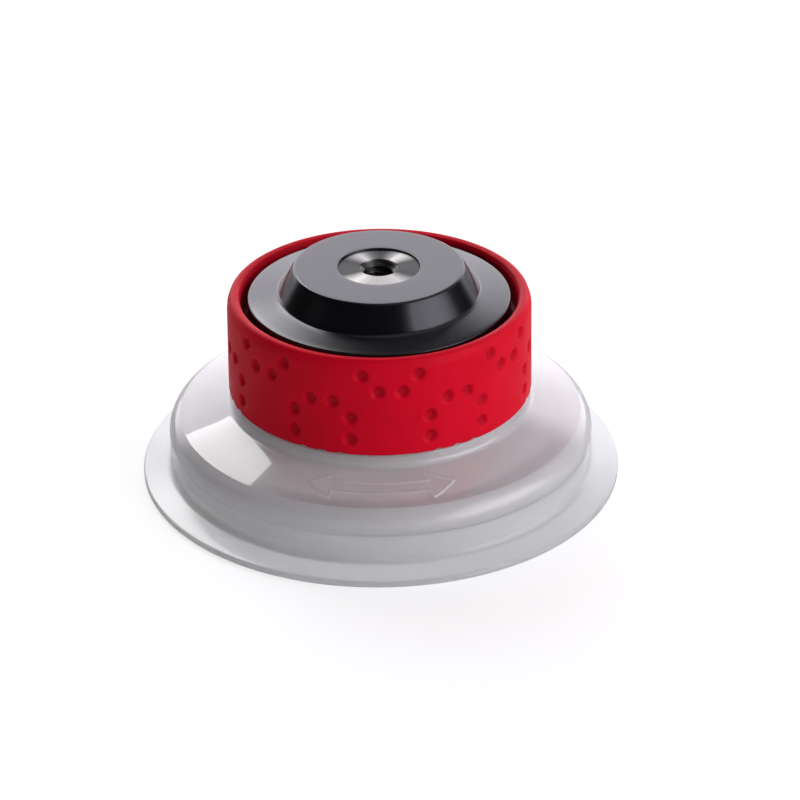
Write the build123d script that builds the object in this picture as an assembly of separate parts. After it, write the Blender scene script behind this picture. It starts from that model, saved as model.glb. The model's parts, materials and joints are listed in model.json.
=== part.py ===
from build123d import *
import math
import os

# Twist-lock vacuum suction cup with a 1/4"-20 camera thread on top.
# Frame: Z is the axis that the red ring turns about, and Z = 0 is the plane
# that the cup's flange lies on.  X is the direction of the cross pin that the
# two helical ramps lift.  All sizes are millimetres, unlocked and at rest.

# ---- visible outline: cup and bell
FLANGE_RADIUS = 44.0
FLANGE_EDGE = 1.1
WALL_RADIUS = 38.9
SEAM_HEIGHT = 7.2
RIM_CORNER_HEIGHT = 10.1
RIM_ROUNDING = 4.0
CREASE_RADIUS = 36.8
CREASE_HEIGHT = 11.6
SHOULDER_TOP_HEIGHT = 14.3
COLLAR_RADIUS = 27.3
COLLAR_TOP = 16.5
BELL_THICKNESS = 2.4

# ---- visible outline: ring, hub, insert
GRIP_RADIUS = 27.7
GRIP_BOTTOM = 16.7
GRIP_TOP = 35.15
GRIP_LIP_BORE = 25.0
HUB_RADIUS = 23.75
HUB_RIM_HEIGHT = 34.5
CONE_FOOT_RADIUS = 18.2
PLATEAU_RADIUS = 15.05
TOTAL_HEIGHT = 40.0
INSERT_HEAD_RADIUS = 7.4
INSERT_RECESS = 0.3
THREAD_MINOR_RADIUS = 2.55
THREAD_MOUTH_RADIUS = 3.5

# ---- dimples in the grip: groups repeated round the ring, as (degrees, height)
DIMPLE_GROUPS = 7
FRONT_AZIMUTH = -90.0
DIMPLE_PHASE = FRONT_AZIMUTH + 29.2
DIMPLE_RADIUS = 1.4
DIMPLE_DEPTH = 0.5
ARCH_DIMPLES = ((11.0, 19.8), (11.0, 23.9), (4.3, 26.8))
CUP_DIMPLES = ((4.4, 29.1), (10.4, 32.2))
EDGE_DIMPLES = (-7.6, 0.0, 7.6)

# ---- motion: turning the ring by TWIST degrees lifts the stem by LIFT
TWIST = 100.0
LIFT = 3.5
RUNNING_GAP = 0.05
PIN_HEIGHT = 20.5
PIN_RADIUS = 1.5
PIN_REACH = 17.2
FOLLOWER_RADIUS = 2.3
RAMP_GAP = 0.07
RAMP_INNER = 13.4
RAMP_OUTER = 17.3
RAMP_END_PAD = 12.0

# ---- inside: tower, stem, cam ring, fasteners
TOWER_RADIUS = 13.0
TOWER_TOP = 27.0
TOWER_BORE = 5.6
DECK_BOTTOM = 12.4
DECK_TOP = 16.0
BUSH_RADIUS = 6.6
STEM_RADIUS = 5.0
STEM_TOP = 22.9
STUD_RADIUS = 2.5
BOSS_TOP = 7.6
ANCHOR_RADIUS = 8.5
DRUM_RADIUS = 25.6
DRUM_BORE = 24.1
DRUM_TOP = 29.6
DRUM_FLOOR_BORE = 20.5
DRUM_FLOOR_TOP = 18.4
KEY_COUNT = 12
WEB_BOTTOM = 16.55
CHANNEL_TOP = 18.1
CAM_TOP = 19.4
SKIRT_BORE = 18.0
SKIRT_RADIUS = 20.4
WAVE_HEIGHT = 0.8
HUB_SCREW_CIRCLE = 9.9
HUB_SCREW_RADIUS = 1.25
CAM_SCREW_CIRCLE = 22.3
STOP_CIRCLE = 18.9
STOP_RADIUS = 1.0
STOP_AZIMUTH = 40.0
INSERT_SHANK_RADIUS = 5.0
INSERT_FLAT = 4.4
INSERT_BOTTOM = 30.9
NUT_TOP = 33.0
COLUMN_BORE = 7.2


# ================================================================ small tools

def turned(*points):
    """Solid of revolution.  A point is (radius, height) or (radius, height, rounding)."""
    corners = [(p[0], p[1]) for p in points]
    face = make_face(Plane.XZ * Polyline(*corners, close=True)).face()
    for p in points:
        if len(p) == 3:
            corner = face.vertices().sort_by_distance((p[0], 0, p[1]))[0]
            face = face.fillet_2d(p[2], [corner])
    return revolve(face, Axis.Z)


def ring(inner, outer, bottom, top):
    """Plain flat-ended ring, or a disc when inner is 0."""
    body = extrude(Circle(outer), top - bottom)
    if inner > 0:
        body -= extrude(Circle(inner), top - bottom)
    return Pos(0, 0, bottom) * body


def ring_sector(inner, outer, bottom, top, start, sweep_angle):
    """Part of a ring from azimuth start, over sweep_angle degrees."""
    middle = Pos((inner + outer) / 2, (bottom + top) / 2)
    section = Plane.XZ * (middle * Rectangle(outer - inner, top - bottom))
    return revolve(Rot(0, 0, start) * section, Axis.Z, sweep_angle)


def upright(radius, bottom, top, circle=0.0, azimuth=0.0):
    """Upright cylinder standing on a circle about the turning axis."""
    return Rot(0, 0, azimuth) * Pos(circle, 0, bottom) * extrude(Circle(radius), top - bottom)


def group(solids):
    """Separate solids of identical pieces, kept in one node."""
    return Compound(children=list(solids))


def polar(count, start=0.0):
    """Azimuths of count places spread evenly round the axis."""
    return [start + 360.0 * i / count for i in range(count)]


def dimple_places():
    """Azimuth and height of every dimple in the grip."""
    places = []
    for centre in polar(DIMPLE_GROUPS, DIMPLE_PHASE):
        for side in (-1, 1):
            places += [(centre + side * a, z) for a, z in ARCH_DIMPLES]
            places += [(centre + 180.0 / DIMPLE_GROUPS + side * a, z) for a, z in CUP_DIMPLES]
        places += [(centre + a, GRIP_BOTTOM - 0.5) for a in EDGE_DIMPLES]
    return places


# ================================================================ the cup, soft

def suction_cup():
    body = turned(
        (0, 2.2),
        (9, 2.2, 30),
        (36.5, 0, 60),
        (FLANGE_RADIUS, 0, 0.25),
        (FLANGE_RADIUS, FLANGE_EDGE, 0.45),
        (WALL_RADIUS - 0.35, 2.0, 1.3),
        (WALL_RADIUS, 4.6, 6),
        (WALL_RADIUS - 0.1, SEAM_HEIGHT - 0.05, 0.25),
        (36.45, SEAM_HEIGHT - 0.05),
        (36.45, 9.1, 0.4),
        (33.7, 9.1, 0.4),
        (33.7, 2.9, 1.2),
        (12.4, 4.9, 1.5),
        (10.2, BOSS_TOP, 0.7),
        (0, BOSS_TOP),
    )
    plate = ring(0, ANCHOR_RADIUS, 3.6, 5.0)
    post = ring(0, STUD_RADIUS, 5.0, BOSS_TOP)
    return body - plate - post


def cup_retaining_ring():
    return turned((32.2, 5.2), (33.7, 5.2, 0.4), (33.7, 9.1), (32.2, 9.1, 0.4))


def anchor_plate():
    """Stiff disc inside the cup's boss that spreads the stud's pull."""
    return ring(STUD_RADIUS, ANCHOR_RADIUS, 3.6, 5.0)


def anchor_stud():
    """Stud riveted through the plate; its plain neck passes through the soft boss."""
    neck = upright(STUD_RADIUS, 3.6, 15.4)
    return chamfer(neck.edges().group_by(Axis.Z)[-1], 0.4)


# ================================================================ the bell, rigid

def pressure_bell():
    """Rim, crease, shoulder and collar in one outer skin, then deck, tower, slots and holes."""
    inner_slope = SHOULDER_TOP_HEIGHT - BELL_THICKNESS
    body = turned(
        (36.5, SEAM_HEIGHT),
        (WALL_RADIUS, SEAM_HEIGHT, 0.2),
        (WALL_RADIUS, RIM_CORNER_HEIGHT, RIM_ROUNDING),
        (CREASE_RADIUS, CREASE_HEIGHT, 0.15),
        (COLLAR_RADIUS, SHOULDER_TOP_HEIGHT, 1.3),
        (COLLAR_RADIUS, COLLAR_TOP, 0.4),
        (26.0, COLLAR_TOP),
        (26.0, DECK_TOP),
        (TOWER_RADIUS, DECK_TOP),
        (TOWER_RADIUS, TOWER_TOP),
        (TOWER_BORE, TOWER_TOP, 0.3),
        (TOWER_BORE, 17.0),
        (BUSH_RADIUS, 17.0),
        (BUSH_RADIUS, DECK_BOTTOM),
        (26.5, DECK_BOTTOM, 2),
        (30.6, inner_slope - 2.0, 2),
        (32.1, 9.15),
        (36.5, 9.15),
    )
    for azimuth in (0, 180):
        slot_width = 2 * (PIN_RADIUS + RUNNING_GAP)
        slot = Box(TOWER_RADIUS, slot_width, 9.0, align=(Align.MIN, Align.CENTER, Align.MIN))
        body -= Rot(0, 0, azimuth) * Pos(0, 0, 18.2) * slot
    for azimuth in polar(4, 45):
        body -= upright(HUB_SCREW_RADIUS, DECK_BOTTOM, TOWER_TOP, HUB_SCREW_CIRCLE, azimuth)
        body -= upright(2.3, DECK_BOTTOM, 15.4, HUB_SCREW_CIRCLE, azimuth)
    for azimuth in polar(2, STOP_AZIMUTH):
        body -= upright(STOP_RADIUS, 13.6, DECK_TOP, STOP_CIRCLE, azimuth)
    return body


def stem_bush():
    return turned(
        (STEM_RADIUS + RUNNING_GAP, 11.8, 0.2),
        (8.0, 11.8, 0.2),
        (8.0, DECK_BOTTOM),
        (BUSH_RADIUS, DECK_BOTTOM),
        (BUSH_RADIUS, 17.0),
        (STEM_RADIUS + RUNNING_GAP, 17.0, 0.2),
    )


def stop_pins():
    pins = [upright(STOP_RADIUS, 13.6, 18.0, STOP_CIRCLE, a) for a in polar(2, STOP_AZIMUTH)]
    return group(chamfer(pin.edges().group_by(Axis.Z)[-1], 0.2) for pin in pins)


def glide_washer():
    return ring(TOWER_RADIUS + 0.2, RAMP_OUTER, DECK_TOP, WEB_BOTTOM - RUNNING_GAP)


# ================================================================ the lift stem

def lift_stem():
    body = turned(
        (STUD_RADIUS, BOSS_TOP),
        (STEM_RADIUS, BOSS_TOP, 0.3),
        (STEM_RADIUS, STEM_TOP, 0.4),
        (2.2, STEM_TOP),
        (0, STEM_TOP),
        (0, 15.6),
        (STUD_RADIUS, 15.6),
    )
    pin_hole = Cylinder(PIN_RADIUS, 4 * STEM_RADIUS, rotation=(0, 90, 0))
    return body - Pos(0, 0, PIN_HEIGHT) * pin_hole


def cross_pin():
    pin = Cylinder(PIN_RADIUS, 2 * PIN_REACH, rotation=(0, 90, 0))
    ends = pin.edges().group_by(Axis.X)
    return Pos(0, 0, PIN_HEIGHT) * chamfer(ends[0] + ends[-1], 0.2)


def follower_sleeves():
    """Slippery sleeves on both ends of the cross pin; they rest on the two ramps."""
    length = RAMP_OUTER - RAMP_INNER - 0.4
    tube = Cylinder(FOLLOWER_RADIUS, length) - Cylinder(PIN_RADIUS, length)
    tube = chamfer(tube.edges().filter_by(GeomType.CIRCLE).sort_by(SortBy.RADIUS)[-2:], 0.2)
    laid = Rot(0, 90, 0) * tube
    middle = (RAMP_INNER + RAMP_OUTER) / 2 - 0.1
    return group(Pos(side * middle, 0, PIN_HEIGHT) * laid for side in (-1, 1))


def spring_seat():
    return ring(2.4, 4.8, STEM_TOP, STEM_TOP + 0.4)


def return_spring():
    """Round wire with a plain helix, between the seat on the stem and the cap."""
    wire = 0.35
    bottom = STEM_TOP + 0.4 + wire
    top = INSERT_BOTTOM - 0.5 - wire
    height = top - bottom
    path = Pos(0, 0, bottom) * Helix(pitch=height / 4, height=height, radius=3.9)
    section = Plane(origin=path @ 0, z_dir=path % 0) * Circle(wire)
    return sweep(section, path=path, is_frenet=True)


def spring_cap():
    return ring(2.9, 5.0, INSERT_BOTTOM - 0.5, INSERT_BOTTOM)


# ================================================================ the turning ring

def drum_keys(gap):
    """Keys on the drum's outside that lock it to the rubber grip."""
    keys = Part()
    for azimuth in polar(KEY_COUNT):
        key = Box(1.0 + gap, 3.0 + 2 * gap, 9.0 + 2 * gap)
        keys += Rot(0, 0, azimuth) * Pos(DRUM_RADIUS + 0.1, 0, 23.5) * key
    return keys


def grip_sleeve():
    body = turned(
        (DRUM_RADIUS, GRIP_BOTTOM),
        (GRIP_RADIUS, GRIP_BOTTOM, 0.35),
        (GRIP_RADIUS - 0.26, 33.3, 3),
        (GRIP_RADIUS - 0.95, GRIP_TOP + 0.1, 0.9),
        (GRIP_LIP_BORE + 0.35, GRIP_TOP - 0.25, 0.5),
        (GRIP_LIP_BORE, GRIP_TOP - 1.1, 0.5),
        (GRIP_LIP_BORE, DRUM_TOP + 0.1),
        (DRUM_RADIUS, DRUM_TOP + 0.1),
    )
    body -= drum_keys(0)
    ball = (DIMPLE_RADIUS**2 + DIMPLE_DEPTH**2) / (2 * DIMPLE_DEPTH)
    cutters = []
    for azimuth, height in dimple_places():
        draft = 0.25 * (height - GRIP_BOTTOM) / (32.5 - GRIP_BOTTOM)
        reach = GRIP_RADIUS - draft - DIMPLE_DEPTH + ball
        cutters.append(Rot(0, 0, azimuth) * Pos(reach, 0, height) * Sphere(ball))
    return body - cutters


def ring_drum():
    body = turned(
        (DRUM_FLOOR_BORE, WEB_BOTTOM + 0.1),
        (DRUM_RADIUS, WEB_BOTTOM + 0.1),
        (DRUM_RADIUS, DRUM_TOP, 0.3),
        (DRUM_BORE, DRUM_TOP, 0.3),
        (DRUM_BORE, DRUM_FLOOR_TOP),
        (DRUM_FLOOR_BORE, DRUM_FLOOR_TOP),
    )
    body += drum_keys(0)
    for azimuth in polar(3, 100):
        body -= upright(1.0, WEB_BOTTOM, DRUM_FLOOR_TOP, CAM_SCREW_CIRCLE, azimuth)
    return body


def ramp(azimuth):
    """Ramp of short facets: a low pad, a steady rise over the twist angle, a level top pad."""
    low = PIN_HEIGHT - FOLLOWER_RADIUS - RAMP_GAP
    steps = 10
    stations = [(-RAMP_END_PAD, 0.0)]
    stations += [(TWIST * i / steps, i / steps) for i in range(steps + 1)]
    stations += [(TWIST + RAMP_END_PAD, 1.0)]
    foot = CHANNEL_TOP - 0.5
    outer = RAMP_OUTER + 0.5
    sections = []
    for angle, share in stations:
        top = low + LIFT * share
        corners = ((RAMP_INNER, foot), (outer, foot), (outer, top), (RAMP_INNER, top))
        wall = make_face(Plane.XZ * Polyline(*corners, close=True))
        sections.append(Rot(0, 0, azimuth + angle) * wall)
    return loft(sections, ruled=True)


def cam_ring():
    body = turned(
        (TOWER_RADIUS + RUNNING_GAP, WEB_BOTTOM),
        (DRUM_FLOOR_BORE, WEB_BOTTOM),
        (DRUM_FLOOR_BORE, DRUM_FLOOR_TOP),
        (DRUM_BORE, DRUM_FLOOR_TOP),
        (DRUM_BORE, CAM_TOP, 0.3),
        (RAMP_OUTER, CAM_TOP),
        (RAMP_OUTER, CHANNEL_TOP),
        (TOWER_RADIUS + RUNNING_GAP, CHANNEL_TOP),
    )
    for azimuth in (0, 180):
        body += ramp(azimuth)
    for azimuth in polar(3, 100):
        body -= upright(1.0, DRUM_FLOOR_TOP, CAM_TOP, CAM_SCREW_CIRCLE, azimuth)
    margin = math.degrees((STOP_RADIUS + 0.1) / STOP_CIRCLE)
    for azimuth in polar(2, STOP_AZIMUTH):
        inner = STOP_CIRCLE - STOP_RADIUS - 0.2
        outer = STOP_CIRCLE + STOP_RADIUS + 0.2
        start = azimuth - margin
        body -= ring_sector(inner, outer, WEB_BOTTOM, 18.3, start, TWIST + 2 * margin)
    return body


def cam_screws():
    screws = []
    for azimuth in polar(3, 100):
        shank = upright(1.0, 16.9, CAM_TOP, CAM_SCREW_CIRCLE, azimuth)
        head = upright(1.6, CAM_TOP, CAM_TOP + 1.2, CAM_SCREW_CIRCLE, azimuth)
        drive = upright(0.6, CAM_TOP + 0.6, CAM_TOP + 1.2, CAM_SCREW_CIRCLE, azimuth)
        screws.append(shank + head - drive)
    return group(screws)


def wave_washer():
    return ring(SKIRT_BORE, SKIRT_RADIUS, CAM_TOP + RUNNING_GAP, CAM_TOP + WAVE_HEIGHT)


# ================================================================ the hub

def flatted(radius, bottom, top):
    """Round shank with two flats, so that it can't turn."""
    height = top - bottom
    flats = Box(4 * radius, 2 * INSERT_FLAT, height, align=(Align.CENTER, Align.CENTER, Align.MIN))
    return ring(0, radius, bottom, top) & (Pos(0, 0, bottom) * flats)


def hub_cap():
    skirt_bottom = CAM_TOP + WAVE_HEIGHT
    body = turned(
        (SKIRT_BORE, skirt_bottom),
        (SKIRT_RADIUS, skirt_bottom),
        (SKIRT_RADIUS, 32.3, 0.6),
        (22.0, 32.3, 0.6),
        (22.0, 29.8),
        (HUB_RADIUS, 29.8),
        (HUB_RADIUS, HUB_RIM_HEIGHT, 0.4),
        (CONE_FOOT_RADIUS, 35.2, 1),
        (PLATEAU_RADIUS + 0.25, TOTAL_HEIGHT, 0.6),
        (INSERT_HEAD_RADIUS, TOTAL_HEIGHT),
        (INSERT_HEAD_RADIUS, 36.7),
        (0, 36.7),
        (0, NUT_TOP),
        (COLUMN_BORE, NUT_TOP),
        (COLUMN_BORE, TOWER_TOP),
        (TOWER_RADIUS, TOWER_TOP),
        (TOWER_RADIUS, 36.5, 1),
        (14.4, 36.5, 0.6),
        (SKIRT_BORE, 32.3, 1),
    )
    body -= flatted(INSERT_SHANK_RADIUS, NUT_TOP, 36.7)
    for azimuth in polar(4, 45):
        body -= upright(HUB_SCREW_RADIUS, TOWER_TOP, 33.6, HUB_SCREW_CIRCLE, azimuth)
    return body


def thread_insert():
    """Flanged steel bush; the bore is the 1/4"-20 thread's inner wall."""
    top = TOTAL_HEIGHT - INSERT_RECESS
    head = ring(0, INSERT_HEAD_RADIUS, 36.7, top)
    body = head + flatted(INSERT_SHANK_RADIUS, INSERT_BOTTOM, 36.7)
    bevel = THREAD_MOUTH_RADIUS - THREAD_MINOR_RADIUS
    bore = turned(
        (0, INSERT_BOTTOM),
        (THREAD_MINOR_RADIUS, INSERT_BOTTOM),
        (THREAD_MINOR_RADIUS, top - bevel),
        (THREAD_MOUTH_RADIUS, top),
        (0, top),
    )
    return body - bore


def insert_nut():
    hexagon = RegularPolygon(COLUMN_BORE - 0.2, 6)
    body = Pos(0, 0, INSERT_BOTTOM + 0.4) * extrude(hexagon, NUT_TOP - INSERT_BOTTOM - 0.4)
    return body - flatted(INSERT_SHANK_RADIUS, INSERT_BOTTOM, NUT_TOP)


def hub_screws():
    screws = []
    for azimuth in polar(4, 45):
        shank = upright(HUB_SCREW_RADIUS, 15.4, 32.4, HUB_SCREW_CIRCLE, azimuth)
        head = upright(2.2, 13.4, 15.4, HUB_SCREW_CIRCLE, azimuth)
        drive = upright(0.8, 13.4, 14.6, HUB_SCREW_CIRCLE, azimuth)
        screws.append(shank + head - drive)
    return group(screws)


def dust_seal():
    return ring(22.0, DRUM_BORE - RUNNING_GAP, 28.6, 29.8)


# ================================================================ write the parts

NODES = {
    "suction_cup": suction_cup,
    "cup_retaining_ring": cup_retaining_ring,
    "pressure_bell": pressure_bell,
    "stem_bush": stem_bush,
    "stop_pins": stop_pins,
    "glide_washer": glide_washer,
    "hub_cap": hub_cap,
    "hub_screws": hub_screws,
    "thread_insert": thread_insert,
    "insert_nut": insert_nut,
    "spring_cap": spring_cap,
    "wave_washer": wave_washer,
    "dust_seal": dust_seal,
    "grip_sleeve": grip_sleeve,
    "ring_drum": ring_drum,
    "cam_ring": cam_ring,
    "cam_screws": cam_screws,
    "anchor_plate": anchor_plate,
    "anchor_stud": anchor_stud,
    "lift_stem": lift_stem,
    "cross_pin": cross_pin,
    "follower_sleeves": follower_sleeves,
    "spring_seat": spring_seat,
    "return_spring": return_spring,
}

os.makedirs("parts", exist_ok=True)
for node, make in NODES.items():
    export_step(make(), f"parts/{node}.step")
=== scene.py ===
"""Looks for the twist-lock vacuum suction cup: a milky clear cup and bell, a dimpled red grip,
a black hub and a turned steel camera thread, on a pale studio floor."""
import json
import math

import bmesh
import bpy
import numpy as np
from mathutils import Matrix, Vector


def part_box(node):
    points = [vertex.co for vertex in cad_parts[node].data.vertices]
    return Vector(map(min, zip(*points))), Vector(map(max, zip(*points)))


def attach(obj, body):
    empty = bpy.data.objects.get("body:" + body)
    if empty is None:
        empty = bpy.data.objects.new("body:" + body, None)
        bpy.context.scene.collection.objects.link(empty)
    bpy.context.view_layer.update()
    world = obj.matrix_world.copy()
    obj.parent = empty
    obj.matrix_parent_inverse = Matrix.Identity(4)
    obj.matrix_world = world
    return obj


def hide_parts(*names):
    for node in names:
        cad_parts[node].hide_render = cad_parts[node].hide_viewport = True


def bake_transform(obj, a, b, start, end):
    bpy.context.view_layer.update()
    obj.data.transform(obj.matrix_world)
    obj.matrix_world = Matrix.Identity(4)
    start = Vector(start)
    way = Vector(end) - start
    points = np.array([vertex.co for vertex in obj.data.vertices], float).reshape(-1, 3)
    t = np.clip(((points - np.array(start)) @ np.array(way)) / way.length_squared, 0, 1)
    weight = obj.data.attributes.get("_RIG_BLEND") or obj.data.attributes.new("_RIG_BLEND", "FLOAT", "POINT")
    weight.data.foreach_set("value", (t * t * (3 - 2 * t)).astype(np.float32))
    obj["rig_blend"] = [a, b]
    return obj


MM = 0.001
TAU = 2 * math.pi

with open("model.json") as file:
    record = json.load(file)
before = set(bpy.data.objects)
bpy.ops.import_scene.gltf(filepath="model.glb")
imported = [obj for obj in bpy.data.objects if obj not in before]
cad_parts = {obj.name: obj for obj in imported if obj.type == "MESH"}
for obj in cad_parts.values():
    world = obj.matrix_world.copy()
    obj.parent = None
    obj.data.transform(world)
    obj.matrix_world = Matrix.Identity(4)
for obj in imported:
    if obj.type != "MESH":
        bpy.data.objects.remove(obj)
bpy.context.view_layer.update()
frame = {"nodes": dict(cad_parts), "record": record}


# ---------------------------------------------------------------- sizes from the frame, in mm

def low(node):
    """Lowest corner of a CAD node's box, in mm."""
    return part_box(node)[0] / MM


def high(node):
    """Highest corner of a CAD node's box, in mm."""
    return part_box(node)[1] / MM


FLANGE_R = high("suction_cup").x
CUP_TOP = high("suction_cup").z
WALL_R = high("pressure_bell").x
SEAM_Z = low("pressure_bell").z
TOWER_TOP = high("pressure_bell").z
GRIP_R = high("grip_sleeve").x
GRIP_Z0 = low("grip_sleeve").z
GRIP_Z1 = high("grip_sleeve").z + 0.07  # the corner that is rounded off to the lip's top
HUB_R = high("hub_cap").x
HUB_Z0 = low("hub_cap").z
HUB_TOP = high("hub_cap").z
INSERT_R = high("thread_insert").x
INSERT_Z0 = low("thread_insert").z
INSERT_TOP = high("thread_insert").z
DRUM_TOP = high("ring_drum").z
ANCHOR_R = high("anchor_plate").x
ANCHOR_Z = (low("anchor_plate").z, high("anchor_plate").z)

# ---------------------------------------------------------------- sizes of the details, in mm

# Round pits in the grip; each place is (degrees either side of a group's middle, height)
DIMPLE_GROUPS = 7
DIMPLE_PHASE = 29.2
DIMPLE_R = 1.4
DIMPLE_DEPTH = 0.6
DIMPLE_FLOOR = 0.45  # share of the radius that is flat
DIMPLE_SIDE = 0.6  # share of the radius that its side takes
DIMPLE_REACH = 1.2  # only this much of the grip's wall is moved
ARCH_DIMPLES = ((11.0, 19.8), (11.0, 23.9), (4.3, 26.8))
CUP_DIMPLES = ((4.4, 29.1), (10.4, 32.2))
EDGE_DIMPLES = (-7.6, 0.0, 7.6)
EDGE_DROP = 0.85
GRIP_TAPER = 0.26
TAPER_TOP = 33.3
KEY_COUNT = 12

# The bell and its raised mark
LIP_R = 36.5
CREASE = (36.8, 11.6)
SHOULDER_TOP = (27.3, 14.3)
COLLAR_TOP = 16.5
DECK_Z = 12.4
TOWER_R = 13.0
TOWER_BORE = 5.6
MARK_HEIGHT = 0.28
MARK_WIDTH = 0.5

# Screws up through the tower into the hub, and the stop pins in the bell's deck
SCREW_CIRCLE = 9.9
SCREW_R = 1.25
SCREW_HEAD_R = 2.3
SCREW_AZIMUTHS = (45, 135, 225, 315)
PIN_CIRCLE = 18.9
PIN_R = 1.0
PIN_AZIMUTHS = (40, 220)

# The grip's bore round the drum and under its lip, and the insert's shank
DRUM_R = 25.6
LIP_BORE = 25.0
SHANK_R = 5.0
SHANK_TOP = 36.7

THREAD_PITCH = 1.27
THREAD_MINOR_R = 2.55
THREAD_MAJOR_R = 3.175
THREAD_MOUTH_R = 3.5


# ================================================================ outlines and lathed meshes

def rounded(points, per_arc=8):
    """Outline of (r, z) or (r, z, rounding) corners, with each rounding drawn as an arc."""
    count = len(points)
    out = []
    for i, p in enumerate(points):
        here = Vector(p[:2])
        if len(p) == 2:
            out.append(tuple(here))
            continue
        to_last = (Vector(points[i - 1][:2]) - here).normalized()
        to_next = (Vector(points[(i + 1) % count][:2]) - here).normalized()
        half = to_last.angle(to_next) / 2
        tangent = p[2] / math.tan(half)
        centre = here + (to_last + to_next).normalized() * (p[2] / math.sin(half))
        first = here + to_last * tangent - centre
        turn = math.pi - 2 * half
        if to_next.x * to_last.y - to_next.y * to_last.x < 0:
            turn = -turn
        for k in range(per_arc + 1):
            a = turn * k / per_arc
            spoke = Vector((first.x * math.cos(a) - first.y * math.sin(a),
                            first.x * math.sin(a) + first.y * math.cos(a)))
            out.append(tuple(centre + spoke))
    return out


def refined(outline, step, fine_step=None, fine_r=(0.0, 0.0), fine_z=(0.0, 0.0)):
    """The same closed outline with no stretch longer than step, or fine_step inside a band."""
    out = []
    for (r0, z0), (r1, z1) in zip(outline, outline[1:] + outline[:1]):
        r_mid, z_mid = (r0 + r1) / 2, (z0 + z1) / 2
        inside = fine_r[0] < r_mid < fine_r[1] and fine_z[0] < z_mid < fine_z[1]
        pieces = max(1, math.ceil(math.hypot(r1 - r0, z1 - z0) / (fine_step if inside else step)))
        for k in range(pieces):
            t = k / pieces
            out.append((r0 + (r1 - r0) * t, z0 + (z1 - z0) * t))
    return out


def even_angles(count):
    return [TAU * i / count for i in range(count)]


def smoothstep(x):
    x = np.clip(x, 0.0, 1.0)
    return x * x * (3 - 2 * x)


def solid(name, points, faces):
    """Smooth closed piece from points in mm, merged on the axis, with its faces turned outward."""
    mesh = bpy.data.meshes.new(name)
    mesh.from_pydata(points.reshape(-1, 3) * MM, [], faces)
    bm = bmesh.new()
    bm.from_mesh(mesh)
    poles = [v for v in bm.verts if math.hypot(v.co.x, v.co.y) < 1e-9]
    bmesh.ops.remove_doubles(bm, verts=poles, dist=1e-7)
    bmesh.ops.recalc_face_normals(bm, faces=bm.faces)
    bm.to_mesh(mesh)
    bm.free()
    mesh.shade_smooth()
    piece = bpy.data.objects.new(name, mesh)
    bpy.context.scene.collection.objects.link(piece)
    return piece


def lathe(name, outline, angles, shift=None, smooth_below=40.0):
    """Closed solid of revolution.  shift(r, z, angle) takes and returns arrays of (r, z) in mm."""
    r, z = (np.tile(column, (len(angles), 1)) for column in np.array(outline).T)
    angle = np.tile(np.array(angles)[:, None], (1, len(outline)))
    if shift:
        r, z = shift(r, z, angle)
    points = np.stack([r * np.sin(angle), -r * np.cos(angle), z], axis=-1)
    columns, rows = len(angles), len(outline)
    here = np.arange(columns * rows).reshape(columns, rows)
    beside = np.roll(here, -1, axis=0)
    faces = np.stack([here, beside, np.roll(beside, -1, axis=1), np.roll(here, -1, axis=1)], axis=-1)
    piece = solid(name, points, faces.reshape(-1, 4).tolist())
    piece.data.set_sharp_from_angle(angle=math.radians(smooth_below))
    return piece


def cut(piece, tools):
    """Subtracts cutters from piece, and applies the result."""
    for tool in tools:
        trim = piece.modifiers.new("trim", "BOOLEAN")
        trim.operation = "DIFFERENCE"
        trim.solver = "MANIFOLD"
        trim.object = tool
    graph = bpy.context.evaluated_depsgraph_get()
    mesh = bpy.data.meshes.new_from_object(piece.evaluated_get(graph))
    piece.modifiers.clear()
    piece.data = mesh
    for tool in tools:
        bpy.data.objects.remove(tool)


def cutter(azimuth, centre, stretch, cylinder=False):
    """Box or upright cylinder of size stretch in mm, at centre, then turned about the axis."""
    mesh = bpy.data.meshes.new("cutter")
    bm = bmesh.new()
    if cylinder:
        bmesh.ops.create_cone(bm, cap_ends=True, segments=48, radius1=0.5, radius2=0.5, depth=1.0)
    else:
        bmesh.ops.create_cube(bm, size=1.0)
    place = Matrix.Rotation(math.radians(azimuth), 4, "Z")
    place @= Matrix.Translation(Vector(centre) * MM)
    place @= Matrix.Diagonal((*[length * MM for length in stretch], 1.0))
    bmesh.ops.transform(bm, matrix=place, verts=bm.verts)
    bm.to_mesh(mesh)
    bm.free()
    tool = bpy.data.objects.new("cutter", mesh)
    bpy.context.scene.collection.objects.link(tool)
    return tool


def drill(radius, bottom, top, circle, azimuth):
    """Round cutter in mm, standing on a circle about the axis."""
    centre = (circle, 0, (bottom + top) / 2)
    return cutter(azimuth, centre, (2 * radius, 2 * radius, top - bottom), cylinder=True)


# ================================================================ materials

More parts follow.
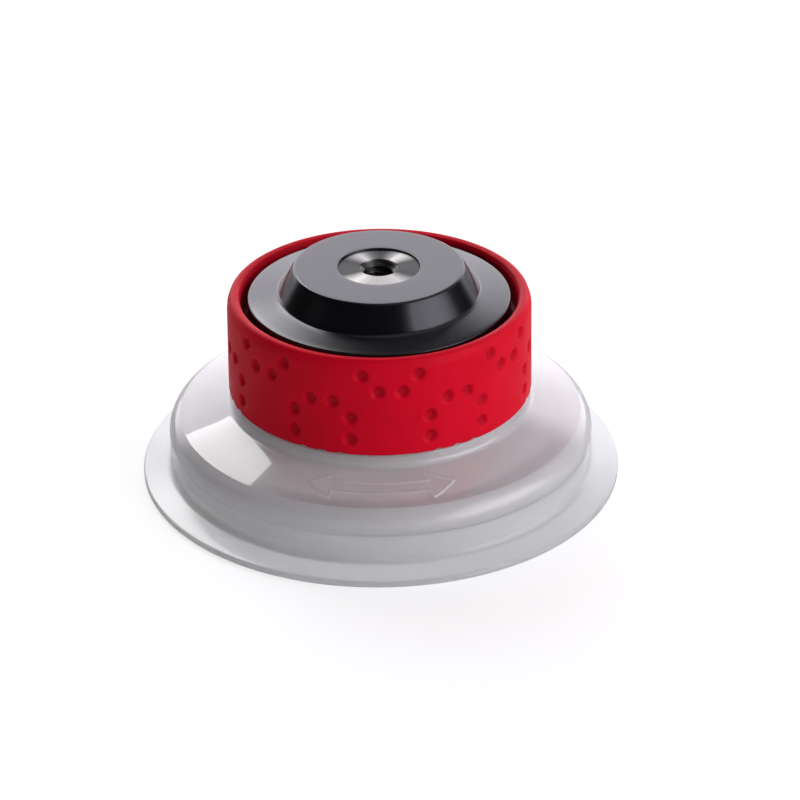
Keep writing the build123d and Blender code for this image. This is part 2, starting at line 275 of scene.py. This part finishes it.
class Graph:
    """A node tree, filled in with short calls."""

    def __init__(self, tree):
        self.tree = tree

    def node(self, kind, inputs=None, **settings):
        node = self.tree.nodes.new(kind)
        for key, value in settings.items():
            setattr(node, key, value)
        for key, value in (inputs or {}).items():
            self.link(value, node.inputs[key])
        return node

    def link(self, value, socket):
        if isinstance(value, bpy.types.NodeSocket):
            self.tree.links.new(value, socket)
        else:
            socket.default_value = value

    def span(self, value, low_out, high_out, low_in=0.3, high_in=0.7):
        """Maps a value's range to another."""
        found = self.node("ShaderNodeMapRange", {
            "Value": value,
            "From Min": low_in,
            "From Max": high_in,
            "To Min": low_out,
            "To Max": high_out,
        })
        return found.outputs["Result"]

    def math(self, operation, first, second=0.0):
        found = self.node("ShaderNodeMath", operation=operation)
        self.link(first, found.inputs[0])
        self.link(second, found.inputs[1])
        return found.outputs[0]

    def total(self, first, *more):
        for value in more:
            first = self.math("ADD", first, value)
        return first

    def scaled(self, vector, by):
        found = self.node("ShaderNodeVectorMath", {0: vector, 1: by}, operation="MULTIPLY")
        return found.outputs["Vector"]

    def dot(self, vector, direction):
        found = self.node("ShaderNodeVectorMath", {0: vector, 1: direction}, operation="DOT_PRODUCT")
        return found.outputs["Value"]

    def length(self, vector):
        return self.node("ShaderNodeVectorMath", {0: vector}, operation="LENGTH").outputs["Value"]

    def within(self, vector, direction, edge, core, strength=1.0):
        """Strength near a direction, fading to 0; edge and core are angles in degrees."""
        limits = (math.cos(math.radians(edge)), math.cos(math.radians(core)))
        return self.span(self.dot(vector, direction), 0, strength, *limits)


class Material(Graph):
    """A material's node graph, in object coordinates (metres)."""

    def __init__(self, name):
        self.material = bpy.data.materials.new(name)
        self.material.use_nodes = True
        super().__init__(self.material.node_tree)
        self.shader = self.tree.nodes["Principled BSDF"]
        self.coords = self.node("ShaderNodeTexCoord").outputs["Object"]

    def set(self, **values):
        """Sets the shader's inputs; underscores stand for spaces."""
        for key, value in values.items():
            self.link(value, self.shader.inputs[key.replace("_", " ")])

    def noise(self, size_mm, detail=3.0, roughness=0.55, coords=None):
        """Noise whose features are about size_mm across, 0 to 1."""
        found = self.node("ShaderNodeTexNoise", {
            "Vector": coords or self.coords,
            "Scale": 1.0 / (size_mm * MM),
            "Detail": detail,
            "Roughness": roughness,
        })
        return found.outputs["Fac"]

    def mix(self, share, first, second):
        """Mixes two colours."""
        found = self.node("ShaderNodeMix", data_type="RGBA")
        self.link(share, found.inputs["Factor"])
        self.link(first, found.inputs["A"])
        self.link(second, found.inputs["B"])
        return found.outputs["Result"]

    def bump(self, height, depth_mm):
        """Normal for a height of 0 to 1 that stands depth_mm deep."""
        inputs = {"Height": height, "Distance": depth_mm * MM}
        return self.node("ShaderNodeBump", inputs).outputs["Normal"]


def milky_clear(name, haze, polish, clear, gloss, tint):
    """Milky clear plastic: cloudy inside, with some light let straight through, and a skin
    of the given polish and gloss.  Upright walls are seen through more plastic, so they are
    cloudier than flat ones."""
    g = Material(name)
    clouds = g.noise(16, 2)
    normal = g.node("ShaderNodeNewGeometry").outputs["Normal"]
    level = g.math("ABSOLUTE", g.dot(normal, (0, 0, 1)))
    g.set(
        Base_Color=g.mix(g.span(clouds, 0, 1), (*tint, 1), (*[c * 0.96 for c in tint], 1)),
        Roughness=g.span(clouds, haze - 0.03, haze + 0.03),
        IOR=1.4,
        Specular_IOR_Level=0.25,
        Transmission_Weight=g.span(level, 0.45 * clear, clear, 0.75, 1.0),
        Subsurface_Weight=1.0,
        Subsurface_Radius=(1.0, 0.93, 1.0),
        Subsurface_Scale=5.0 * MM,
        Coat_Weight=gloss,
        Coat_Roughness=g.span(clouds, polish, polish + 0.02),
        Coat_IOR=1.55,
        Coat_Normal=g.bump(g.noise(6, 1), 0.012),
    )
    return g.material


def red_rubber():
    """Moulded red rubber: matte, with a fine sandy grain, slight clouding and painted shade in its pits."""
    g = Material("red_rubber")
    grain = g.noise(0.28, 4, 0.6)
    clouds = g.noise(7, 3)
    red = g.mix(g.span(clouds, 0, 1), (0.86, 0.0020, 0.024, 1), (0.80, 0.0016, 0.021, 1))
    speck = g.mix(g.span(grain, 0, 0.3, 0.55, 0.8), red, (0.92, 0.006, 0.032, 1))
    # Painted shade: the red is darkened inside the pits, below the lip.
    radius = g.length(g.scaled(g.coords, (1, 1, 0)))
    height = g.dot(g.coords, (0, 0, 1))
    side = g.span(height, GRIP_R * MM, (GRIP_R - GRIP_TAPER) * MM, GRIP_Z0 * MM, TAPER_TOP * MM)
    sunk = g.span(g.math("SUBTRACT", side, radius), 0, 0.34, 0.1 * MM, 0.5 * MM)
    below_lip = g.span(height, 1, 0, (TAPER_TOP - 0.4) * MM, (TAPER_TOP - 0.1) * MM)
    painted_pit_shade = g.math("MULTIPLY", sunk, below_lip)
    g.set(
        Base_Color=g.mix(painted_pit_shade, speck, (0.16, 0.004, 0.012, 1)),
        Roughness=g.span(clouds, 0.44, 0.52),
        Specular_IOR_Level=0.08,
        Normal=g.bump(grain, 0.035),
    )
    return g.material


def black_plastic():
    """Black moulding with a fine spark-eroded satin skin."""
    g = Material("black_plastic")
    grain = g.noise(0.12, 4, 0.65)
    clouds = g.noise(9, 2)
    g.set(
        Base_Color=g.mix(g.span(grain, 0, 1), (0.003, 0.003, 0.004, 1), (0.006, 0.006, 0.007, 1)),
        Specular_Tint=(0.96, 0.94, 1.0, 1),
        Roughness=g.span(clouds, 0.16, 0.20),
        Specular_IOR_Level=0.55,
        Normal=g.bump(grain, 0.004),
    )
    return g.material


def turned_steel():
    """Lathe-faced stainless steel: fine rings that streak the light outwards, dark rays of reflection
    painted into its colour, and painted shade in the bore.
    """
    g = Material("turned_steel")
    rings = g.node("ShaderNodeTexWave", {
        "Vector": g.coords, "Scale": 1.0 / (0.5 * MM), "Distortion": 0.3, "Detail": 2.0,
    }, wave_type="RINGS", rings_direction="Z").outputs["Fac"]
    flat = g.scaled(g.coords, (1, 1, 0))
    radius = g.length(flat)
    outward = g.node("ShaderNodeVectorMath", {0: flat}, operation="NORMALIZE").outputs["Vector"]

    def ray(azimuth, edge, core):
        """Dark ray of the painted reflection at an azimuth in degrees, 1 at its middle."""
        a = math.radians(azimuth)
        return g.within(outward, (math.sin(a), -math.cos(a), 0), edge, core)

    # Painted reflection: dark rays at the sides and at the back darken the colour, standing in for what the
    # turned steel reflects.
    sides = g.math("MAXIMUM", ray(88, 54, 24), ray(-92, 54, 24))
    dark = g.math("MAXIMUM", sides, g.math("MULTIPLY", ray(178, 33, 2), 0.88))
    fine = g.noise(0.07, 2, 0.5, g.scaled(outward, (MM, MM, 0)))
    painted_streaks = g.math("SUBTRACT", g.span(dark, 1, 0.0, 0, 1), g.span(fine, 0.0, 0.10))
    # Painted shade: the bore's colour is made darker than the rest of the steel.
    bore = g.span(radius, 1, 0, 3.3 * MM, 3.45 * MM)
    face = g.mix(painted_streaks, (0.0, 0.0, 0.0, 1), (0.52, 0.505, 0.49, 1))
    around = g.node("ShaderNodeTangent", direction_type="RADIAL", axis="Z").outputs["Tangent"]
    g.set(
        Base_Color=g.mix(bore, face, (0.10, 0.095, 0.09, 1)),
        Metallic=1.0,
        Roughness=0.3,
        Anisotropic=0.9,
        Anisotropic_Rotation=0.25,
        Tangent=around,
        Normal=g.bump(rings, 0.0015),
    )
    return g.material


def plain_steel():
    """Drawn or stamped steel of the inner parts."""
    g = Material("plain_steel")
    drawn = g.noise(0.6, 3, 0.6, g.scaled(g.coords, (1, 1, 8)))
    g.set(
        Base_Color=g.mix(g.span(drawn, 0, 1), (0.60, 0.60, 0.61, 1), (0.50, 0.50, 0.52, 1)),
        Metallic=1.0,
        Roughness=g.span(drawn, 0.25, 0.4),
        Normal=g.bump(drawn, 0.004),
    )
    return g.material


def acetal():
    """Natural acetal of the sliding parts: off-white, waxy."""
    g = Material("acetal")
    clouds = g.noise(3, 3)
    g.set(
        Base_Color=g.mix(g.span(clouds, 0, 1), (0.80, 0.80, 0.76, 1), (0.74, 0.74, 0.70, 1)),
        Roughness=g.span(clouds, 0.32, 0.42),
        Subsurface_Weight=0.2,
        Subsurface_Scale=1.0 * MM,
        Normal=g.bump(g.noise(0.3, 3), 0.005),
    )
    return g.material


def bearing_bronze():
    """Sintered bronze with dark pores."""
    g = Material("bearing_bronze")
    pores = g.noise(0.15, 4, 0.7)
    g.set(
        Base_Color=g.mix(g.span(pores, 0, 1), (0.55, 0.34, 0.15, 1), (0.35, 0.20, 0.09, 1)),
        Metallic=1.0,
        Roughness=g.span(pores, 0.3, 0.5),
        Normal=g.bump(pores, 0.01),
    )
    return g.material


def seal_foam():
    """Closed-cell black foam."""
    g = Material("seal_foam")
    cell = 0.35 * MM
    depth = g.node("ShaderNodeTexVoronoi", {"Vector": g.coords, "Scale": 1.0 / cell}).outputs["Distance"]
    g.set(
        Base_Color=g.mix(g.span(depth, 0, 1, 0.0, 0.6), (0.008, 0.008, 0.008, 1), (0.02, 0.02, 0.02, 1)),
        Roughness=g.span(depth, 0.8, 0.95, 0.0, 0.6),
        Normal=g.bump(depth, 0.05),
    )
    return g.material


def red_plastic():
    """Rigid red moulding of the drum under the grip."""
    g = Material("red_plastic")
    grain = g.noise(0.2, 3)
    g.set(
        Base_Color=g.mix(g.span(grain, 0, 1), (0.35, 0.004, 0.010, 1), (0.29, 0.003, 0.008, 1)),
        Roughness=g.span(grain, 0.36, 0.46),
        Normal=g.bump(grain, 0.006),
    )
    return g.material


MATERIALS = {
    "clear_soft": milky_clear("clear_soft", haze=0.42, polish=0.14, clear=0.72, gloss=0.6,
                              tint=(0.97, 0.965, 0.98)),
    "clear_rigid": milky_clear("clear_rigid", haze=0.36, polish=0.02, clear=0.54, gloss=1.0,
                               tint=(0.94, 0.92, 0.93)),
    "red_rubber": red_rubber(),
    "black_plastic": black_plastic(),
    "steel": plain_steel(),
    "white_plastic": acetal(),
    "bronze": bearing_bronze(),
    "seal_rubber": seal_foam(),
    "red_plastic": red_plastic(),
}


def dress(piece, material, slot, body, *nodes):
    """Gives a new piece its material, puts it on its body and hides the nodes it stands for. Its slot is not
    used.
    """
    piece.data.materials.clear()
    piece.data.materials.append(material)
    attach(piece, body)
    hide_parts(*nodes)


# ================================================================ the soft cup

def cup_piece():
    outline = rounded([
        (0, 2.2),
        (9, 2.2, 30),
        (36.5, 0, 60),
        (FLANGE_R, 0, 0.25),
        (FLANGE_R, 1.1, 0.45),
        (WALL_R - 0.35, 2.0, 1.3),
        (WALL_R, 4.6, 6),
        (WALL_R - 0.05, SEAM_Z - 0.02, 0.08),
        (36.45, SEAM_Z - 0.02),
        (36.45, CUP_TOP, 0.4),
        (33.7, CUP_TOP, 0.4),
        (33.7, 2.9, 1.2),
        (12.4, 4.9, 1.5),
        (10.2, 7.6, 0.7),
        (2.5, 7.6),
        (2.5, ANCHOR_Z[1]),
        (ANCHOR_R, ANCHOR_Z[1]),
        (ANCHOR_R, ANCHOR_Z[0]),
        (0, ANCHOR_Z[0]),
    ], 10)
    piece = lathe("cup", refined(outline, 1.0), even_angles(256))
    piece.data.materials.append(MATERIALS["clear_soft"])
    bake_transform(piece, "housing", "lift_stem_group", start=(0, 0, 0), end=(0, 0, CUP_TOP * MM))
    # The share of the lift falls from the anchor plate outwards, instead of with height.
    still, lifted = 31.0, ANCHOR_R + 1.7
    weights = piece.data.attributes["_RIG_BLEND"].data
    for vertex, weight in zip(piece.data.vertices, weights):
        radius = math.hypot(vertex.co.x, vertex.co.y) / MM
        weight.value = smoothstep((still - radius) / (still - lifted))
    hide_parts("suction_cup")


# ================================================================ the bell

def bell_angles():
    """Azimuths of the bell's columns: close together across the raised mark at the front."""
    fine, coarse, reach = 0.25, 1.5, 30.0
    front = [-reach + fine * i for i in range(round(2 * reach / fine))]
    rest = [reach + coarse * i for i in range(round((360 - 2 * reach) / coarse))]
    return [math.radians(a) for a in front + rest]


def arrow_outline():
    """Double-headed arrow, as corner points in mm across and up the shoulder."""
    right = [(12.9, 0.0), (8.6, -2.9), (8.6, -1.2)]
    lower = right + [(-u, v) for u, v in reversed(right)]
    return lower + [(u, -v) for u, v in reversed(lower[1:-1])]


def turn_mark(r, z, angle):
    """Raises the outline of the double-headed arrow on the front of the shoulder."""
    foot, top = Vector(CREASE), Vector(SHOULDER_TOP)
    slope = (top - foot).normalized()
    middle = foot.lerp(top, 0.47)
    across = ((angle + math.pi) % TAU - math.pi) * middle.x
    up = (r - middle.x) * slope.x + (z - middle.y) * slope.y
    off = (r - middle.x) * slope.y - (z - middle.y) * slope.x
    corners = arrow_outline()
    gap = np.full(r.shape, 99.0)
    for (u0, v0), (u1, v1) in zip(corners, corners[1:] + corners[:1]):
        du, dv = u1 - u0, v1 - v0
        t = np.clip(((across - u0) * du + (up - v0) * dv) / (du * du + dv * dv), 0, 1)
        gap = np.minimum(gap, np.hypot(across - u0 - t * du, up - v0 - t * dv))
    height = MARK_HEIGHT * (1 - smoothstep((gap - MARK_WIDTH / 4) / (MARK_WIDTH / 3)))
    height = np.where(np.abs(off) < 0.3, height, 0.0)
    return r + height * slope.y, z - height * slope.x


def bell_piece():
    thickness = 2.4
    skirt_top = 9.15
    outline = rounded([
        (LIP_R, SEAM_Z),
        (WALL_R, SEAM_Z, 0.08),
        (WALL_R, 10.1, 4.0),
        (*CREASE, 0.15),
        (*SHOULDER_TOP, 1.3),
        (SHOULDER_TOP[0], COLLAR_TOP, 0.4),
        (26.0, COLLAR_TOP),
        (26.0, 16.0),
        (TOWER_R, 16.0),
        (TOWER_R, TOWER_TOP),
        (TOWER_BORE, TOWER_TOP, 0.3),
        (TOWER_BORE, 17.0),
        (6.6, 17.0),
        (6.6, DECK_Z),
        (26.5, DECK_Z, 2),
        (30.6, SHOULDER_TOP[1] - thickness - 2.0, 2),
        (32.1, skirt_top),
        (LIP_R, skirt_top),
    ], 10)
    outline = refined(outline, 1.0, 0.14, (27.8, 36.0), (11.7, 14.5))
    piece = lathe("bell", outline, bell_angles(), turn_mark)
    holes = [cutter(a, (6.5, 0, 22.7), (13, 3.1, 9)) for a in (0, 180)]
    for azimuth in SCREW_AZIMUTHS:
        holes.append(drill(SCREW_R, 15.0, TOWER_TOP + 1, SCREW_CIRCLE, azimuth))
        holes.append(drill(SCREW_HEAD_R, 12.0, 15.4, SCREW_CIRCLE, azimuth))
    for azimuth in PIN_AZIMUTHS:
        holes.append(drill(PIN_R, 13.6, 17.0, PIN_CIRCLE, azimuth))
    cut(piece, holes)
    dress(piece, MATERIALS["clear_rigid"], "clear_rigid", "housing", "pressure_bell")


# ================================================================ the red grip

def dimple_places():
    places = []
    for group in range(DIMPLE_GROUPS):
        centre = DIMPLE_PHASE + 360 * group / DIMPLE_GROUPS
        for side in (-1, 1):
            places += [(centre + side * a, z) for a, z in ARCH_DIMPLES]
            places += [(centre + 180 / DIMPLE_GROUPS + side * a, z) for a, z in CUP_DIMPLES]
        places += [(centre + a, GRIP_Z0 - EDGE_DROP) for a in EDGE_DIMPLES]
    return [(math.radians(a), z) for a, z in places]


def grip_piece():
    places = dimple_places()

    def dimpled(r, z, angle):
        sink = np.zeros(r.shape)
        for centre, height in places:
            across = ((angle - centre + math.pi) % TAU - math.pi) * GRIP_R
            away = np.hypot(across, z - height) / DIMPLE_R
            sink = np.maximum(sink, DIMPLE_DEPTH * (1 - smoothstep((away - DIMPLE_FLOOR) / DIMPLE_SIDE)))
        return np.where(r > GRIP_R - DIMPLE_REACH, r - sink, r), z

    outline = rounded([
        (DRUM_R, GRIP_Z0),
        (GRIP_R, GRIP_Z0, 0.35),
        (GRIP_R - GRIP_TAPER, TAPER_TOP, 3),
        (GRIP_R - 0.95, GRIP_Z1 + 0.1, 0.9),
        (LIP_BORE + 0.35, GRIP_Z1 - 0.25, 0.5),
        (LIP_BORE, GRIP_Z1 - 1.1, 0.5),
        (LIP_BORE, DRUM_TOP + 0.1),
        (DRUM_R, DRUM_TOP + 0.1),
    ], 10)
    piece = lathe("grip", refined(outline, 0.25), even_angles(720), dimpled, 60)
    step = 360 / KEY_COUNT
    cut(piece, [cutter(step * i, (DRUM_R + 0.1, 0, 23.5), (1.0, 3.0, 9.0)) for i in range(KEY_COUNT)])
    dress(piece, MATERIALS["red_rubber"], "red_rubber", "lock_ring", "grip_sleeve")


# ================================================================ hub and insert

def hub_piece():
    outline = rounded([
        (18.0, HUB_Z0),
        (20.4, HUB_Z0),
        (20.4, 32.3, 0.6),
        (22.0, 32.3, 0.6),
        (22.0, 29.8),
        (HUB_R, 29.8),
        (HUB_R, 34.5, 0.4),
        (18.2, 35.2, 1),
        (15.3, HUB_TOP, 0.6),
        (INSERT_R, HUB_TOP, 0.2),
        (INSERT_R, SHANK_TOP),
        (SHANK_R, SHANK_TOP),
        (SHANK_R, 33.0),
        (7.2, 33.0),
        (7.2, TOWER_TOP),
        (TOWER_R, TOWER_TOP),
        (TOWER_R, 36.5, 1),
        (14.4, 36.5, 0.6),
        (18.0, 32.3, 1),
    ], 10)
    piece = lathe("hub", refined(outline, 1.0), even_angles(288))
    cut(piece, [drill(SCREW_R, 26.0, 33.6, SCREW_CIRCLE, a) for a in SCREW_AZIMUTHS])
    dress(piece, MATERIALS["black_plastic"], "black_plastic", "housing", "hub_cap")


def insert_piece():
    """Steel bush with a real right-hand thread cut in its bore."""
    crest = 0.12

    def threaded(r, z, angle):
        phase = (z / THREAD_PITCH - angle / TAU) % 1.0
        flank = np.clip((1 - np.abs(2 * phase - 1) - crest) / (1 - 2 * crest), 0, 1)
        wall = THREAD_MINOR_R + (THREAD_MAJOR_R - THREAD_MINOR_R) * flank
        return np.where(r < THREAD_MAJOR_R, np.maximum(r, wall), r), z

    bevel = THREAD_MOUTH_R - THREAD_MINOR_R
    outline = rounded([
        (THREAD_MINOR_R, INSERT_Z0),
        (SHANK_R, INSERT_Z0, 0.3),
        (SHANK_R, SHANK_TOP),
        (INSERT_R - 0.02, SHANK_TOP),
        (INSERT_R - 0.02, INSERT_TOP, 0.1),
        (THREAD_MOUTH_R, INSERT_TOP, 0.06),
        (THREAD_MINOR_R, INSERT_TOP - bevel),
    ], 6)
    piece = lathe("insert", refined(outline, 0.09), even_angles(144), threaded, 35)
    dress(piece, turned_steel(), "steel", "housing", "thread_insert")


# ================================================================ the return spring

def spring_piece():
    """Compression spring.  Its coils close up as the stem rises, and its wire stays round."""
    wire, coils = 0.28, 5
    foot = low("return_spring").z + wire + 0.02
    head = high("return_spring").z - wire - 0.02
    radius = high("return_spring").x - wire
    sides, steps = 14, coils * 60
    t = np.linspace(0, 1, steps + 1)[:, None]
    around = np.arange(sides) * TAU / sides
    out = radius + wire * np.cos(around)
    climb = foot + (head - foot) * t
    turn = TAU * coils * t
    points = np.stack([out * np.cos(turn), out * np.sin(turn), climb + wire * np.sin(around)], axis=-1)
    here = np.arange((steps + 1) * sides).reshape(steps + 1, sides)
    beside = np.roll(here, -1, axis=1)
    faces = np.stack([here[:-1], beside[:-1], beside[1:], here[1:]], axis=-1).reshape(-1, 4).tolist()
    faces += [here[0][::-1].tolist(), here[-1].tolist()]
    piece = solid("spring", points, faces)
    piece.data.materials.append(MATERIALS["steel"])
    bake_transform(piece, "housing", "lift_stem_group", start=(0, 0, head * MM), end=(0, 0, foot * MM))
    for i, weight in enumerate(piece.data.attributes["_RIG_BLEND"].data):
        weight.value = 1 - (i // sides) / steps
    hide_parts("return_spring")


cup_piece()
bell_piece()
grip_piece()
hub_piece()
insert_piece()
spring_piece()

for row in frame["record"]["subparts"]:
    node = frame["nodes"][row["node"]]
    node.data.materials.clear()
    node.data.materials.append(MATERIALS[row["material_slot"]])


# ================================================================ studio

BACKDROP = 2.4
RIGHT_WALL = 3.0
CEILING = 0.42
FRONT_FILL = 0.36
ROOM = 0.03
WORLD_TINT = (0.98, 0.96, 1.03, 1)

FLOOR_HALF = 3.0
FLOOR_GLOW = 0.25
FLOOR_SEEN = 0.37
FLOOR_UNDER_CUP = 0.72
FLOOR_BESIDE_CUP = 0.6
FLOOR_SHADE = 0.3
FLOOR_SEEN_SHADE = 0.4

LENS_MM = 117.0
EYE = (0.0, -419.5, 242.8)
AIM = (3.60, 0.0, 12.6)
ROLL = -0.456


def studio_floor():
    """Pale floor.  It glows a little, more to the camera and to what is seen through the plastic,
    so that it stays white around the object.  From below it isn't there."""
    mesh = bpy.data.meshes.new("floor")
    corners = [(x * FLOOR_HALF, y * FLOOR_HALF, -0.1 * MM) for x, y in ((-1, -1), (1, -1), (1, 1), (-1, 1))]
    mesh.from_pydata(corners, [], [(0, 1, 2, 3)])
    floor = bpy.data.objects.new("floor", mesh)
    bpy.context.scene.collection.objects.link(floor)
    g = Material("pale_floor")
    path = g.node("ShaderNodeLightPath")
    seen, through = path.outputs["Is Camera Ray"], path.outputs["Is Transmission Ray"]
    # Painted light: the glow seen through the plastic is stronger under the cup than beside it.
    inside, outside = (WALL_R - 3) * MM, WALL_R * MM
    under = g.span(g.length(g.coords), FLOOR_UNDER_CUP, FLOOR_BESIDE_CUP, inside, outside)
    more = g.total(g.math("MULTIPLY", seen, FLOOR_SEEN), g.math("MULTIPLY", through, under))
    shade = g.math("MULTIPLY", g.math("ADD", seen, through), FLOOR_SEEN_SHADE)
    g.set(
        Base_Color=g.mix(g.math("ADD", shade, FLOOR_SHADE), (0, 0, 0, 1), (1, 1, 1, 1)),
        Roughness=0.7,
        Specular_IOR_Level=0.1,
        Emission_Color=(1, 1, 1, 1),
        Emission_Strength=g.math("ADD", more, FLOOR_GLOW),
        Alpha=g.math("SUBTRACT", 1.0, g.node("ShaderNodeNewGeometry").outputs["Backfacing"]),
    )
    mesh.materials.append(g.material)


def panel(name, direction, distance, width, height, power, roll=0.0):
    """Softbox that faces the object from a direction."""
    data = bpy.data.lights.new(name, "AREA")
    data.shape = "RECTANGLE"
    data.size = width
    data.size_y = height
    data.energy = power
    lamp = bpy.data.objects.new(name, data)
    place = Vector(direction).normalized() * distance
    turn = place.to_track_quat("Z", "Y").to_matrix().to_4x4()
    lamp.matrix_world = Matrix.Translation(place) @ turn @ Matrix.Rotation(math.radians(roll), 4, "Z")
    bpy.context.scene.collection.objects.link(lamp)


def studio_world():
    """White to the camera.  To the object: a white backdrop behind, a bright wall on the right,
    a soft ceiling, a low fill in front, and darkness elsewhere."""
    world = bpy.data.worlds.new("studio")
    bpy.context.scene.world = world
    world.use_nodes = True
    g = Graph(world.node_tree)
    toward = g.node("ShaderNodeTexCoord").outputs["Generated"]
    backward, upward = g.dot(toward, (0, 1, 0)), g.dot(toward, (0, 0, 1))

    def patch(direction, strength, edge, core):
        return g.within(toward, Vector(direction).normalized(), edge, core, strength)

    behind = g.math("MULTIPLY", g.span(backward, 0, 1, 0.55, 0.8), g.span(upward, BACKDROP, 0, 0.50, 0.60))
    wall = patch((0.88, -0.46, 0.13), RIGHT_WALL, 38, 20)
    ceiling = patch((0.50, 0.15, 0.85), CEILING, 50, 25)
    ahead = g.span(g.dot(toward, (-0.4, -0.92, 0)), 0, 1, 0.3, 0.75)
    front = g.math("MULTIPLY", ahead, g.span(upward, FRONT_FILL, 0, 0.28, 0.42))
    room = g.total(behind, wall, ceiling, front, ROOM)
    seen = g.node("ShaderNodeLightPath").outputs["Is Camera Ray"]
    strength = g.node("ShaderNodeMix", {"Factor": seen, "A": room, "B": 1.0}).outputs["Result"]
    background = g.tree.nodes["Background"]
    g.link(WORLD_TINT, background.inputs["Color"])
    g.link(strength, background.inputs["Strength"])


def camera():
    data = bpy.data.cameras.new("camera")
    data.sensor_width = 36.0
    data.lens = LENS_MM
    eye, aim = Vector(EYE) * MM, Vector(AIM) * MM
    shot = bpy.data.objects.new("camera", data)
    turn = (eye - aim).to_track_quat("Z", "Y").to_matrix().to_4x4()
    shot.matrix_world = Matrix.Translation(eye) @ turn @ Matrix.Rotation(math.radians(ROLL), 4, "Z")
    bpy.context.scene.collection.objects.link(shot)
    bpy.context.scene.camera = shot


studio_floor()
studio_world()
panel("left_box", (-0.32, 0.68, 0.66), distance=0.9, width=0.36, height=0.32, power=1.8)
panel("right_strip", (0.62, -0.42, 0.66), distance=0.8, width=0.55, height=0.03, power=0.16, roll=35.0)
camera()
bpy.context.scene.view_settings.view_transform = "Standard"
